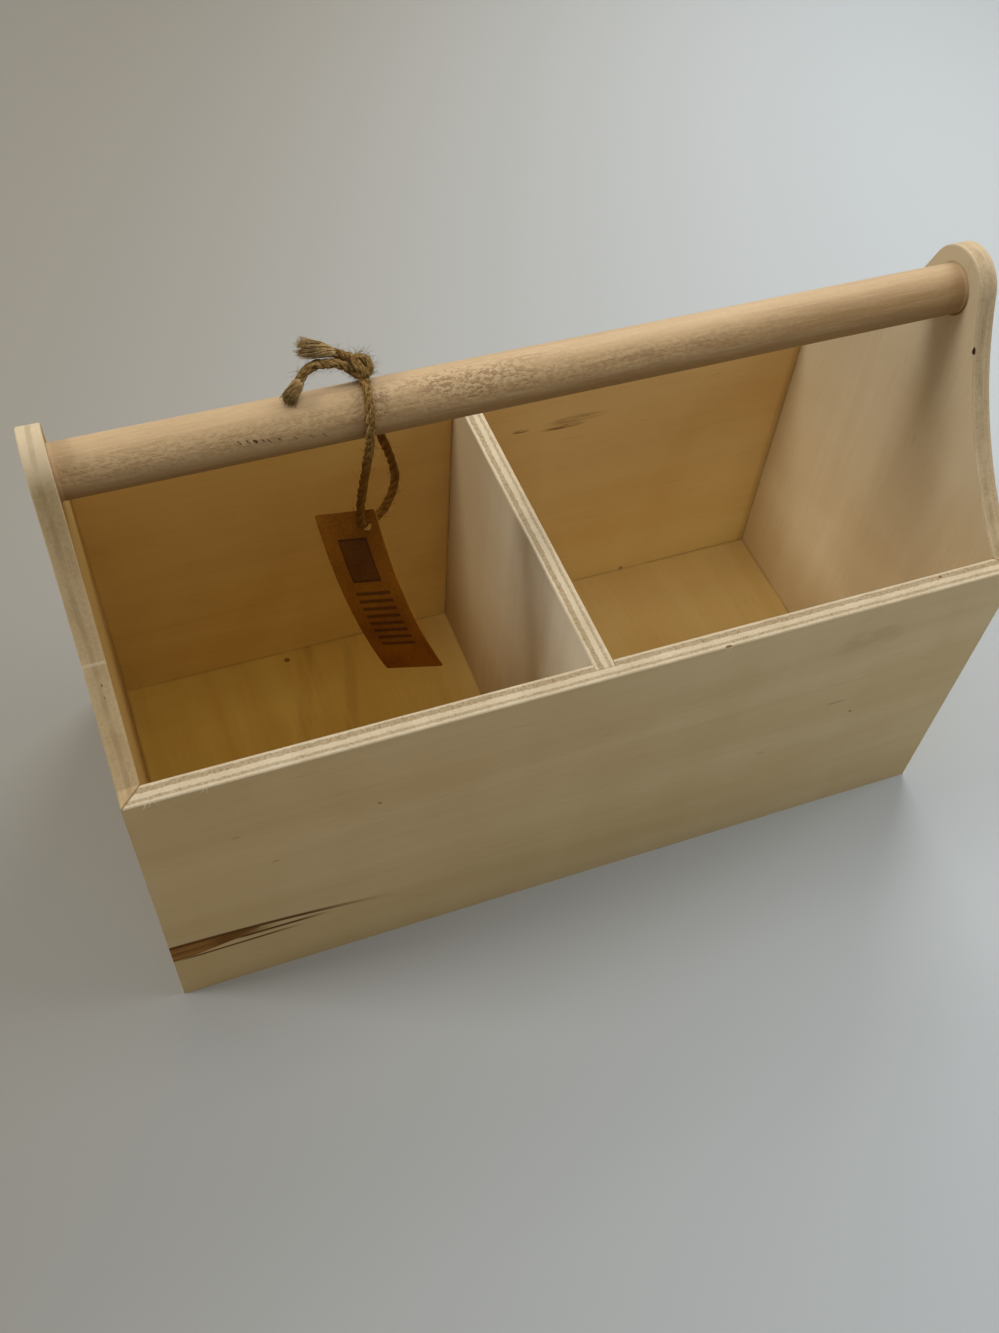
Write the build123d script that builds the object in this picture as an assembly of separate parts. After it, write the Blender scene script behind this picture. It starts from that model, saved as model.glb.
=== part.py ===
from build123d import *
from math import cos, pi, radians, sin, sqrt, tan
import os

# Open-top wooden tote caddy with two compartments, a dowel handle and a tag on twine.
# Millimetres. X runs along the caddy, Y from front to back and Z up.
# The origin is on the floor, under the middle of the caddy.

# Carcass of plywood boards, mitred at the four corners
LENGTH = 355.0
DEPTH = 170.0
WALL_HEIGHT = 150.0
PLY = 8.0
EDGE_EASE = 0.4

# Bottom, let into a rebate along the foot of the four walls
BOTTOM_PLY = 5.0
REBATE = 4.0
BOTTOM_CLEARANCE = 0.2

# Divider, housed in a dado in the front wall and another in the back wall
LEFT_BAY = 165.5
DADO_DEPTH = 3.0
DADO_CLEARANCE = 0.1

# Dowel handle, in blind sockets in the end panels
DOWEL_DIA = 19.0
DOWEL_HEIGHT = 222.0
DOWEL_EASE = 0.5
SOCKET_DEPTH = 5.0
SOCKET_CLEARANCE = 0.15

# Outline of an end panel: a round crown about the dowel, and a hollow sweep down to each shoulder
CROWN_WALL = 6.5
SWEEP_RADIUS = 165.0

# Brads, all of one size
BRAD_DIA = 1.2
BRAD_LENGTH = 18.0
BRAD_POINT = 2.0
BRAD_HEAD_DIA = 2.0
BRAD_HEAD = 0.7
BRAD_SET = 0.4
BRAD_CLEARANCE = 0.03
LONG_WALL_BRAD_COUNT = 4
END_WALL_BRAD_COUNT = 2
DIVIDER_BRAD_COUNT = 3

# Twine, tied in a loop over the dowel
TWINE_DIA = 3.3
TWINE_FROM_END = 105.0
TWINE_CLEARANCE = 0.2
LOOP_TURN_DEG = 11.0
LOOP_LEAD = 9.5
KNOT_CORE = 3.4
KNOT_TURN = 3.0
KNOT_STRAND = 3.7
KNOT_TURNS_DEG = ((0.0, 0.0, 20.0), (0.0, 62.0, -25.0), (70.0, 0.0, 15.0))
ARC_SHARE = 0.45

# Routes of the twine, from the dowel's axis where the loop hangs
KNOT_AT = (-0.1, 6.3, 13.5)
UPPER_TAIL_ROUTE = [(-1.8, 7.4, 15.4), (-6.6, 7.7, 18.7), (-13.0, 7.9, 21.7), (-20.5, 8.2, 24.2)]
LOWER_TAIL_ROUTE = [
    (-2.0, 4.2, 14.4),
    (-8.6, 3.2, 16.8),
    (-15.5, 3.1, 17.9),
    (-21.4, 1.9, 16.4),
    (-26.4, -0.6, 12.6),
]
FRONT_STRAND_ROUTE = [(-4.6, -10.6, -20.0), (-6.6, -10.9, -33.0)]
REAR_STRAND_ROUTE = [
    (3.1, -2.0, -50.4),
    (8.4, 1.8, -46.6),
    (11.7, 5.0, -40.5),
    (10.4, 7.5, -31.5),
    (7.0, 9.2, -21.0),
]

# Card tag, curled along its length and hung by a hole near its top corner
TAG_WIDTH = 25.5
TAG_LENGTH = 77.0
TAG_CARD = 0.6
TAG_CURL = 143.0
TAG_CORNER = 1.0
TAG_HOLE_DIA = 5.0
TAG_HOLE_INSET = 5.5
TAG_HOLE_AT = (-4.4, -8.4, -46.7)
TAG_TURNS_DEG = (-19.0, -25.0, -43.0)
TAG_RIDE = 0.55
THROUGH_HOLE = 4.5

# Overrun of every cut past the face that it opens
OVERRUN = 1.0

HALF_LENGTH = LENGTH / 2
HALF_DEPTH = DEPTH / 2
CROWN_RADIUS = DOWEL_DIA / 2 + CROWN_WALL
DIVIDER_X = LEFT_BAY + PLY + PLY / 2 - HALF_LENGTH
TWINE_X = TWINE_FROM_END + PLY - HALF_LENGTH
TWINE_AXIS = Vector(TWINE_X, 0, DOWEL_HEIGHT)
LOOP_RADIUS = (DOWEL_DIA / 2 + TWINE_DIA / 2 + TWINE_CLEARANCE) / cos(radians(LOOP_TURN_DEG))


def mitred_board(outer_length, height):
    """Board standing on Z=0 with its outer face on Y=0, both ends mitred at 45 degrees."""
    half_outer = outer_length / 2
    half_inner = half_outer - PLY
    plan = Polyline(
        (-half_outer, 0),
        (half_outer, 0),
        (half_inner, PLY),
        (-half_inner, PLY),
        close=True,
    )
    return extrude(make_face(plan), amount=height)


def on_wall(side):
    """Place of a wall by its side of the caddy, the outer face turned outwards."""
    places = {
        "front": Pos(0, -HALF_DEPTH, 0),
        "right": Rot(0, 0, 90) * Pos(0, -HALF_LENGTH, 0),
        "back": Rot(0, 0, 180) * Pos(0, -HALF_DEPTH, 0),
        "left": Rot(0, 0, 270) * Pos(0, -HALF_LENGTH, 0),
    }
    return places[side]


def bottom_rebate():
    """The space that the bottom and its clearance take out of the feet of the walls."""
    return Box(
        LENGTH - 2 * (PLY - REBATE),
        DEPTH - 2 * (PLY - REBATE),
        BOTTOM_PLY + OVERRUN,
        align=(Align.CENTER, Align.CENTER, Align.MAX),
    ).moved(Pos(0, 0, BOTTOM_PLY))


def dado_cut():
    """The slots for the divider, cut as one bar through both long walls."""
    return Box(
        PLY + 2 * DADO_CLEARANCE,
        DEPTH - 2 * (PLY - DADO_DEPTH),
        WALL_HEIGHT - BOTTOM_PLY + OVERRUN,
        align=(Align.CENTER, Align.CENTER, Align.MIN),
    ).moved(Pos(DIVIDER_X, 0, BOTTOM_PLY))


def brad(clearance=0.0):
    """Brad pointing up, its head's top on Z=0. A clearance makes the hole that it leaves."""
    shank = BRAD_DIA / 2 + clearance
    head = BRAD_HEAD_DIA / 2 + clearance
    foot = BRAD_SET + OVERRUN if clearance else 0
    tip = BRAD_LENGTH + clearance
    outline = Polyline(
        (0, -foot),
        (head, -foot),
        (head, BRAD_HEAD + clearance),
        (shank, BRAD_HEAD + clearance),
        (shank, tip - BRAD_POINT),
        (0, tip),
        close=True,
    )
    return revolve(Plane.XZ * make_face(outline), axis=Axis.Z)


def spaced(count, span):
    """Places spread evenly over a span about zero, half a step in from each end."""
    step = span / count
    return [step * (index + 0.5) - span / 2 for index in range(count)]


def bottom_brad_places():
    """Brads driven up through the bottom's rim into the four walls."""
    rim_y = HALF_DEPTH - PLY + REBATE / 2
    rim_x = HALF_LENGTH - PLY + REBATE / 2
    long_walls = [(x, y) for y in (-rim_y, rim_y) for x in spaced(LONG_WALL_BRAD_COUNT, LENGTH - 2 * PLY)]
    end_walls = [(x, y) for x in (-rim_x, rim_x) for y in spaced(END_WALL_BRAD_COUNT, DEPTH - 2 * PLY)]
    return [Pos(x, y, BRAD_SET) for x, y in long_walls + end_walls]


def divider_brad_places():
    """Brads driven up through the bottom into the divider's lower edge."""
    return [Pos(DIVIDER_X, y, BRAD_SET) for y in spaced(DIVIDER_BRAD_COUNT, DEPTH - 2 * PLY)]


def handle_brad_places():
    """One brad through each end panel into the end of the dowel."""
    left = Pos(BRAD_SET - HALF_LENGTH, 0, DOWEL_HEIGHT) * Rot(0, 90, 0)
    right = Pos(HALF_LENGTH - BRAD_SET, 0, DOWEL_HEIGHT) * Rot(0, -90, 0)
    return [left, right]


def brads_at(places):
    """A group of separate brads."""
    return Compound(children=[place * brad() for place in places])


def drilled(board, places):
    """A board with the holes that the brads at these places make in it."""
    for place in places:
        board -= place * brad(BRAD_CLEARANCE)
    return board


def long_wall(side):
    """Front or back wall: mitred ends, eased top edges, rebate, dado and brad holes."""
    board = mitred_board(LENGTH, WALL_HEIGHT)
    top_edges = board.edges().filter_by(Axis.X).group_by(Axis.Z)[-1]
    board = on_wall(side) * chamfer(top_edges, EDGE_EASE)
    board = board - bottom_rebate() - dado_cut()
    return drilled(board, bottom_brad_places())


def sweep_centre(shoulder):
    """Centre of the hollow sweep that meets the shoulder's inner corner and touches the crown.

    The two circles about the dowel and about the corner, of radius sweep plus crown and of
    radius sweep, cross at that centre.
    """
    along = shoulder - Vector(0, DOWEL_HEIGHT)
    span = along.length
    reach = SWEEP_RADIUS + CROWN_RADIUS
    foot = (reach**2 - SWEEP_RADIUS**2 + span**2) / (2 * span)
    offset = sqrt(reach**2 - foot**2)
    unit = along.normalized()
    return Vector(0, DOWEL_HEIGHT) + unit * foot + Vector(-unit.Y, unit.X) * offset


def end_outline():
    """Outline of an end panel, drawn with across as x and height as y."""
    shoulder = Vector(HALF_DEPTH - PLY, WALL_HEIGHT)
    centre = sweep_centre(shoulder)
    crown_centre = Vector(0, DOWEL_HEIGHT)
    meet = crown_centre + (centre - crown_centre).normalized() * CROWN_RADIUS
    middle = centre + ((shoulder + meet) * 0.5 - centre).normalized() * SWEEP_RADIUS
    crown_top = Vector(0, DOWEL_HEIGHT + CROWN_RADIUS)

    def mirrored(point):
        return Vector(-point.X, point.Y)

    return Curve() + [
        Line((-HALF_DEPTH, 0), (HALF_DEPTH, 0)),
        Line((HALF_DEPTH, 0), (HALF_DEPTH, WALL_HEIGHT)),
        Line((HALF_DEPTH, WALL_HEIGHT), shoulder),
        ThreePointArc(shoulder, middle, meet),
        ThreePointArc(meet, crown_top, mirrored(meet)),
        ThreePointArc(mirrored(meet), mirrored(middle), mirrored(shoulder)),
        Line(mirrored(shoulder), (-HALF_DEPTH, WALL_HEIGHT)),
        Line((-HALF_DEPTH, WALL_HEIGHT), (-HALF_DEPTH, 0)),
    ]


def end_panel(side):
    """End panel: the outline cut from a mitred board, with eased edges, rebate and dowel socket."""
    # The sketch faces -Y, so its solid grows towards +Y when the amount is negative.
    blank = extrude(Plane.XZ * make_face(end_outline()), amount=-PLY)
    upper_edges = blank.edges().filter_by(
        lambda edge: edge.bounding_box().min.Z > WALL_HEIGHT - EDGE_EASE
        and edge.bounding_box().size.Y < EDGE_EASE
    )
    blank = chamfer(upper_edges, EDGE_EASE)
    board = on_wall(side) * (blank & mitred_board(DEPTH, DOWEL_HEIGHT + CROWN_RADIUS + OVERRUN))
    board = board - bottom_rebate() - handle_blank(SOCKET_CLEARANCE)
    return drilled(board, bottom_brad_places() + handle_brad_places())


def handle_blank(clearance=0.0):
    """Round stock from the floor of one socket to the floor of the other."""
    length = LENGTH - 2 * (PLY - SOCKET_DEPTH)
    return Cylinder(DOWEL_DIA / 2 + clearance, length).moved(Pos(0, 0, DOWEL_HEIGHT) * Rot(0, 90, 0))


def handle_dowel():
    """Dowel with eased ends, drilled for its two brads."""
    dowel = handle_blank()
    dowel = chamfer(dowel.edges().filter_by(GeomType.CIRCLE), DOWEL_EASE)
    return drilled(dowel, handle_brad_places())


def bottom_panel():
    """Thin bottom, flush with the feet of the walls."""
    board = Box(
        LENGTH - 2 * (PLY - REBATE + BOTTOM_CLEARANCE),
        DEPTH - 2 * (PLY - REBATE + BOTTOM_CLEARANCE),
        BOTTOM_PLY,
        align=(Align.CENTER, Align.CENTER, Align.MIN),
    )
    return drilled(board, bottom_brad_places() + divider_brad_places())


def divider_panel():
    """Divider standing on the bottom, its ends in the dados and its top level with the walls."""
    board = Box(
        PLY,
        DEPTH - 2 * (PLY - DADO_DEPTH + DADO_CLEARANCE),
        WALL_HEIGHT - BOTTOM_PLY,
        align=(Align.CENTER, Align.CENTER, Align.MIN),
    )
    top_edges = board.edges().filter_by(Axis.Y).group_by(Axis.Z)[-1]
    board = Pos(DIVIDER_X, 0, BOTTOM_PLY) * chamfer(top_edges, EDGE_EASE)
    return drilled(board, divider_brad_places())


def at_twine(point):
    """A point of the twine's routes in the caddy's frame."""
    return TWINE_AXIS + Vector(*point)


def loop_end(side):
    """Where the loop leaves the dowel: side is -1 at the front and +1 at the back."""
    turn = radians(LOOP_TURN_DEG)
    return TWINE_AXIS + Vector(side * sin(turn), side * cos(turn), 0) * LOOP_RADIUS


def cord_tube(name, points):
    """Round tube along straight runs, with the largest arcs that each pair of runs allows."""
    radii = []
    for before, corner, after in zip(points, points[1:], points[2:]):
        run_in = corner - before
        run_out = after - corner
        half_turn = radians(run_in.get_angle(run_out)) / 2
        radii.append(ARC_SHARE * min(run_in.length, run_out.length) / tan(half_turn))
    path = FilletPolyline(*points, radius=radii)
    section = Plane(origin=path @ 0, z_dir=path % 0) * Circle(TWINE_DIA / 2)
    tube = sweep(section, path=path)
    expected = pi * TWINE_DIA**2 / 4 * path.length
    print(f"{name}: length {path.length:.1f}, volume {tube.volume:.1f} of {expected:.1f}")
    print(f"{name}: radii {[round(radius, 1) for radius in radii]}")
    return tube


def twine_collar():
    """Half ring of twine over the dowel, turned a little about Z."""
    start = loop_end(-1)
    crest = TWINE_AXIS + Vector(0, 0, LOOP_RADIUS)
    path = ThreePointArc(start, crest, loop_end(1))
    return sweep(Plane(origin=start, z_dir=path % 0) * Circle(TWINE_DIA / 2), path=path)


def twine_knot():
    """Overhand knot on top of the loop: turns of twine pulled tight round a core."""
    place = Pos(*at_twine(KNOT_AT))
    knot = place * Sphere(KNOT_CORE)
    for turns in KNOT_TURNS_DEG:
        knot += place * Rot(*turns) * Torus(KNOT_TURN, KNOT_STRAND / 2)
    return knot


def twine_tail(name, route):
    """Loose end of the twine, from the knot's surface to its cut end."""
    return cord_tube(name, [at_twine(point) for point in route]) - twine_knot()


def tag_place():
    """Place of the tag: its origin in the middle of the hole, its back facing the tag's +Y."""
    tilt, lean, turn = TAG_TURNS_DEG
    return Pos(*at_twine(TAG_HOLE_AT)) * Rot(0, 0, turn) * Rot(tilt, 0, 0) * Rot(0, lean, 0)


def twine_drop():
    """Hanging loop: down the front, through the tag's hole and up behind the dowel."""
    place = tag_place()
    through = [(place * Pos(0, side * THROUGH_HOLE, TAG_RIDE)).position for side in (-1, 1)]
    front = [at_twine(point) for point in FRONT_STRAND_ROUTE]
    rear = [at_twine(point) for point in REAR_STRAND_ROUTE]
    lead = Vector(0, 0, -LOOP_LEAD)
    down = [loop_end(-1), loop_end(-1) + lead] + front
    up = rear + [loop_end(1) + lead, loop_end(1)]
    return cord_tube("twine_drop", down + through + up)


def hang_tag():
    """Card bent to an arc along its length, with rounded corners and its hole."""
    above = TAG_HOLE_INSET / TAG_CURL
    below = (TAG_LENGTH - TAG_HOLE_INSET) / TAG_CURL

    def on_arc(radius, angle):
        return Vector(TAG_CURL - radius * cos(angle), radius * sin(angle))

    near = TAG_CURL + TAG_CARD / 2
    far = TAG_CURL - TAG_CARD / 2
    middle = (above - below) / 2
    section = Curve() + [
        ThreePointArc(on_arc(near, above), on_arc(near, middle), on_arc(near, -below)),
        Line(on_arc(near, -below), on_arc(far, -below)),
        ThreePointArc(on_arc(far, -below), on_arc(far, middle), on_arc(far, above)),
        Line(on_arc(far, above), on_arc(near, above)),
    ]
    card = extrude(Plane.YZ * make_face(section), amount=TAG_WIDTH)
    card = Pos(TAG_HOLE_INSET - TAG_WIDTH, 0, 0) * card
    corners = card.edges().filter_by(lambda edge: edge.length < 2 * TAG_CARD)
    card = fillet(corners, TAG_CORNER)
    hole = Rot(90, 0, 0) * Cylinder(TAG_HOLE_DIA / 2, 2 * (TAG_CARD + OVERRUN))
    return tag_place() * (card - hole)


def main():
    nodes = {
        "front_panel": long_wall("front"),
        "back_panel": long_wall("back"),
        "left_end_panel": end_panel("left"),
        "right_end_panel": end_panel("right"),
        "bottom_panel": bottom_panel(),
        "divider_panel": divider_panel(),
        "handle_dowel": handle_dowel(),
        "bottom_brads": brads_at(bottom_brad_places()),
        "divider_brads": brads_at(divider_brad_places()),
        "handle_brads": brads_at(handle_brad_places()),
        "twine_collar": twine_collar(),
        "twine_knot": twine_knot(),
        "twine_tail_upper": twine_tail("twine_tail_upper", UPPER_TAIL_ROUTE),
        "twine_tail_lower": twine_tail("twine_tail_lower", LOWER_TAIL_ROUTE),
        "twine_drop": twine_drop(),
        "hang_tag": hang_tag(),
    }
    os.makedirs("parts", exist_ok=True)
    for name, shape in nodes.items():
        export_step(shape, f"parts/{name}.step")
    print("tag hole", tuple(at_twine(TAG_HOLE_AT)), "axis", tuple(Plane(tag_place()).y_dir))


main()
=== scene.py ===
from functools import reduce
from math import cos, pi, sin
from operator import or_

import bpy
import numpy as np
from mathutils import Matrix, Vector


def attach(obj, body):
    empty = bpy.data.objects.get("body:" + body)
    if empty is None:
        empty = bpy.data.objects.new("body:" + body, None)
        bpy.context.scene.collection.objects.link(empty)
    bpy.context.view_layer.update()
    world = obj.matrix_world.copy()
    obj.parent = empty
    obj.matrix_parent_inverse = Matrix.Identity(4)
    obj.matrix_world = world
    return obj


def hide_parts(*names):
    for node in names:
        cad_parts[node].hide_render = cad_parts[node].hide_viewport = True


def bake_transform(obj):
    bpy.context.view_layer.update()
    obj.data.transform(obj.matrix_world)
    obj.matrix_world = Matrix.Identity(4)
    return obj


# Open-top wooden tote caddy: plywood boards, dowel handle, and a card tag on jute twine.
# Metres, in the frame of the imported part: X along the caddy, Y from front to back, Z up.

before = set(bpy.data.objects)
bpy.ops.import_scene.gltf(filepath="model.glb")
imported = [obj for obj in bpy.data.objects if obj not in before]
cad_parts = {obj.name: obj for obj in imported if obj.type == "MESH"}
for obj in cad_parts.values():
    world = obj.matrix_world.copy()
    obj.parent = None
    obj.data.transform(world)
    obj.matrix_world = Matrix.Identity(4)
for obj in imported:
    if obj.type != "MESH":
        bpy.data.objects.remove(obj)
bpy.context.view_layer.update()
MM = 0.001

# Camera, fitted to the corners and edges of the caddy in the photograph
PHOTO_PIXELS = (999, 1333)
FOCAL_PIXELS = 1283.2
MIDDLE_PIXEL = (482.6, 721.2)
SENSOR_WIDTH = 36.0
CAMERA_AT = (-0.15742, -0.32738, 0.51895)
LOOK_AT = (-0.04963, -0.08497, 0.14492)
CAMERA_ROLL = 0.0834
CLIP_START = 0.01

# Boards
PLY = 0.008
HALF_LENGTH = 0.1775
HALF_DEPTH = 0.085
BOTTOM_PLY = 0.005
INNER_LENGTH = HALF_LENGTH - PLY
INNER_DEPTH = HALF_DEPTH - PLY
DOWEL_HEIGHT = 0.222
DOWEL_RADIUS = 0.0095

# Twine: its route is measured from the dowel's axis where the loop hangs
TWINE_AXIS = np.array((-0.0645, 0.0, 0.222))
TWINE_DIAMETER = 0.0033
TWINE_PITCH = 0.0110
TWINE_PLIES = 3
UPPER_TAIL = [
    (-0.0200, 0.0088, 0.0236),
    (-0.0154, 0.0084, 0.0220),
    (-0.0113, 0.0082, 0.0204),
    (-0.0076, 0.0080, 0.0185),
]
KNOT_FIRST_TURN = [
    (-0.0034, 0.0087, 0.0154),
    (-0.0015, 0.0070, 0.0157),
    (0.0006, 0.0060, 0.0163),
    (0.0023, 0.0043, 0.0158),
    (0.0020, 0.0025, 0.0141),
    (0.0001, 0.0015, 0.0131),
    (-0.0020, 0.0032, 0.0124),
    (-0.0028, 0.0063, 0.0121),
    (-0.0013, 0.0087, 0.0126),
    (0.0013, 0.0083, 0.0131),
    (0.0024, 0.0061, 0.0125),
    (0.0007, 0.0036, 0.0116),
    (-0.0011, 0.0011, 0.0112),
]
LOOP_FRONT = [
    (-0.0004, -0.0020, 0.0118),
    (-0.0015, -0.0076, 0.0092),
    (-0.0021, -0.0110, 0.0041),
    (-0.0023, -0.0116, -0.0045),
]
FRONT_STRAND = [(-0.0046, -0.0106, -0.0200), (-0.0066, -0.0109, -0.0330)]
THROUGH_TAG = [(-0.0074, -0.0112, -0.0448), (-0.0016, -0.0050, -0.0477)]
REAR_STRAND = [
    (0.0031, -0.0020, -0.0504),
    (0.0084, 0.0018, -0.0466),
    (0.0117, 0.0050, -0.0405),
    (0.0104, 0.0075, -0.0315),
    (0.0070, 0.0092, -0.0210),
]
LOOP_REAR = [
    (0.0023, 0.0116, -0.0070),
    (0.0022, 0.0116, 0.0021),
    (0.0017, 0.0090, 0.0077),
]
KNOT_SECOND_TURN = [
    (-0.0002, 0.0060, 0.0102),
    (0.0014, 0.0052, 0.0112),
    (0.0026, 0.0060, 0.0133),
    (0.0013, 0.0078, 0.0150),
    (-0.0020, 0.0067, 0.0162),
    (-0.0021, 0.0036, 0.0161),
    (-0.0003, 0.0014, 0.0149),
    (0.0003, 0.0013, 0.0128),
    (-0.0010, 0.0037, 0.0115),
    (-0.0032, 0.0041, 0.0130),
    (-0.0045, 0.0054, 0.0142),
]
LOWER_TAIL = [
    (-0.0087, 0.0050, 0.0171),
    (-0.0123, 0.0054, 0.0175),
    (-0.0161, 0.0056, 0.0178),
    (-0.0195, 0.0050, 0.0163),
    (-0.0221, 0.0030, 0.0142),
    (-0.0248, 0.0006, 0.0126),
    (-0.0276, -0.0022, 0.0112),
]
TWINE_ROUTE = (
    UPPER_TAIL + KNOT_FIRST_TURN + LOOP_FRONT + FRONT_STRAND + THROUGH_TAG
    + REAR_STRAND + LOOP_REAR + KNOT_SECOND_TURN + LOWER_TAIL
)

# Steps along each stretch of the twine, sides of a ply, and the heights between which it turns browner as
# painted shade
TWINE_STEPS = 14
PLY_SIDES = 14
SHADED_HEIGHTS = (0.232, 0.200)
TWINE_SEED = 7

# Cut ends of the twine: how far its plies loosen and thin, and the brush of fibres there, dark at its tip
LOOSE_LENGTH = 0.008
THINNING_LENGTH = 0.004
BRUSH_COUNT = 300
BRUSH_RINGS = 9
BRUSH_NECK = 0.0014
BRUSH_TURN = 1.5
BRUSH_WANDER = 0.0006
BRUSH_CUT = (0.5, 1.1)
BRUSH_THICKNESS = (0.00008, 0.0002)
FAN_FLARE = 0.0018
FAN_STRIDE = 4
FAN_DARK_MM = 10.4
CLUB_SWELL = 0.0009
CLUB_STRIDE = 3
CLUB_DARK_MM = 5.8

# Stray fibres on the twine and on the outer arris of the front's top edge, and a way that none of them runs
FUZZ_COUNT = 1000
FUZZ_ROOT = 0.42
FUZZ_LEAN = (0.15, 1.0)
FUZZ_LENGTH = (0.0012, 0.0054)
FUZZ_CURL = 0.0007
FUZZ_THICKNESS = (0.00003, 0.00005)
SPLINTERS_AT = (-0.1692, -0.1678, -0.1664, -0.1650, -0.1498, -0.1488, 0.0470, 0.0490)
SPLINTER_HEIGHT = 0.1497
SPLINTER_LENGTH = (0.0020, 0.0032)
SPLINTER_CURL = 0.0004
SPLINTER_THICKNESS = 0.00011
SPLINTER_SEED = 3
ASKEW = (0.31, 0.53, 0.79)

# Tag: the middle of its hole, and its axes across, through and along the card
TAG_HOLE = (-0.0689, -0.0084, 0.1753)
TAG_ACROSS = (0.75667, -0.51747, 0.39960)
TAG_THROUGH = (0.64484, 0.69151, -0.32557)
TAG_ALONG = (-0.10784, 0.50403, 0.85693)

# Printing on the tag, in millimetres across the card and down it from the hole
PRINT_BOX_MIDDLE = (-7.35, 14.25)
PRINT_BOX_HALF = (5.75, 8.75)
PRINT_LINE_PITCH = 3.6
PRINT_LINES_FROM = 27.2
PRINT_LINES_TO = 55.4
PRINT_LINE_MIDDLE = -7.1
PRINT_LINE_HALF = 7.4
PRINT_SOFT = 0.2

# Mineral streak on the front: its length, the heights of its top and its foot at the board's end, and its
# thin lines, by their height there, their rise, their half width, and where they come in and fade
STREAK_LENGTH = 0.085
STREAK_TOP = 0.0438
STREAK_FOOT = 0.0314
STREAK_LINES = (
    (0.0366, -0.0016, 0.85 * MM, (0.28, 0.36), (0.82, 0.6)),
    (0.0312, 0.0008, 0.65 * MM, (0.0, 0.12), (0.68, 0.45)),
)

# Spots in the wood: the middle of each on its face or edge, its reach both ways, its strength, and its soft
# edge where that is broader than most
STREAK_HEART = [((-0.1465, 0.0405), (0.0060, 0.0018), 0.8)]
FRONT_KNOTS = [
    ((-0.0886, 0.1092), (0.0008, 0.0006), 0.7),
    ((0.1233, 0.0764), (0.0009, 0.0006), 0.7),
]
FRONT_FLECKS = [
    ((0.1130, 0.0872), (0.0045, 0.0006), 0.3),
    ((-0.1428, 0.1130), (0.0016, 0.0007), 0.22),
    ((-0.1301, 0.0887), (0.0014, 0.0007), 0.22),
    ((0.0829, 0.0626), (0.0020, 0.0006), 0.22),
]
FRONT_BLOTCH = [((0.1157, 0.1282), (0.0150, 0.0070), 1.0, 0.9)]
FRONT_EDGE_NICKS = [
    ((0.0479, -0.0848), (0.0013, 0.0006), 1.0),
    ((0.1433, -0.0791), (0.0008, 0.0005), 1.0),
]
BACK_SMEARS = [
    ((0.0293, 0.1200), (0.0036, 0.0008), 1.0, 0.9),
    ((0.0505, 0.1176), (0.0095, 0.0011), 1.0, 0.95),
    ((0.0567, 0.1208), (0.0135, 0.0018), 0.5, 0.95),
]
BACK_SPECK = [((0.0959, 0.0060), (0.0012, 0.0010), 0.6)]
# The voids and pinholes are painted dark, as painted shade in the holes
END_VOID = [((-0.0230, 0.2098), (0.0008, 0.0013), 1.0)]
END_EDGE_VOID = [((0.1698, 0.2098), (0.0005, 0.0013), 1.0)]
END_EDGE_HOLES = [
    ((-0.1729, -0.0500), (0.0003, 0.0004), 0.6),
    ((-0.1730, -0.0530), (0.0003, 0.0003), 0.5),
]
BOTTOM_KNOT = [((-0.0901, 0.0718), (0.0015, 0.0013), 0.85)]

# Other marks: a painted highlight across the left end's edge and a painted highlight on its crown, and the
# bottom's leaning bands
END_EDGE_HIGHLIGHT = -0.0450
END_CROWN_HIGHLIGHT = (0.227, 0.236)
BOTTOM_LEAN = 0.277
BOTTOM_BANDS = ((-0.1006, 3.5 * MM), (-0.0770, 3.0 * MM))

# Dowel: the way across it as the camera sees it, in Y and Z, where its torn grain comes in and fades, and a
# sloping row of nicks, by their places along the dowel, their reach along and across the row, and strength
DOWEL_ACROSS = (0.84, 0.54)
TORN_FROM = (-0.078, -0.060)
TORN_TO = (0.022, -0.028)
NICK_ROW_SLOPE = 0.115
NICK_ROW_DROP = 0.0087
NICK_LEAN = 0.9
DOWEL_NICKS = (
    ((-0.1049,), (0.8 * MM, 0.7 * MM), 1.0),
    ((-0.1103, -0.1074, -0.1024, -0.1007, -0.0971), (0.4 * MM, 0.7 * MM), 0.8),
    ((-0.0917, -0.0865, -0.0820), (0.4 * MM, 0.8 * MM), 0.4),
)

# Floor and lamps: the floor's sweep of colour, from painted shade to painted light across it, and its fade,
# and each lamp's place, width and level
FLOOR_REACH = 6.0
FLOOR_LIGHT_WAY = (0.88, -0.48)
FLOOR_LIGHT_SWEEP = (-0.40, 0.30)
FLOOR_FADE = (0.75, 1.35)
LAMP_AIM = (0, 0, 0.1)
LAMPS = {
    "left_lamp": ((-1.4, 0.26, 1.25), 0.5, 0.33),
    "back_lamp": ((0.5, 0.7, 0.8), 0.6, 0.43),
    "right_lamp": ((0.95, -0.2, 0.85), 0.6, 0.26),
    "top_lamp": ((0.0, 0.0, 1.4), 0.8, 0.23),
}


def srgb(red, green, blue):
    """Linear colour of an 8-bit screen colour, by the usual 2.4 power curve with its straight foot."""
    share = np.array((red, green, blue)) / 255
    linear = np.where(share > 0.04045, ((share + 0.055) / 1.055) ** 2.4, share / 12.92)
    return (*linear.tolist(), 1.0)


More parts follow.
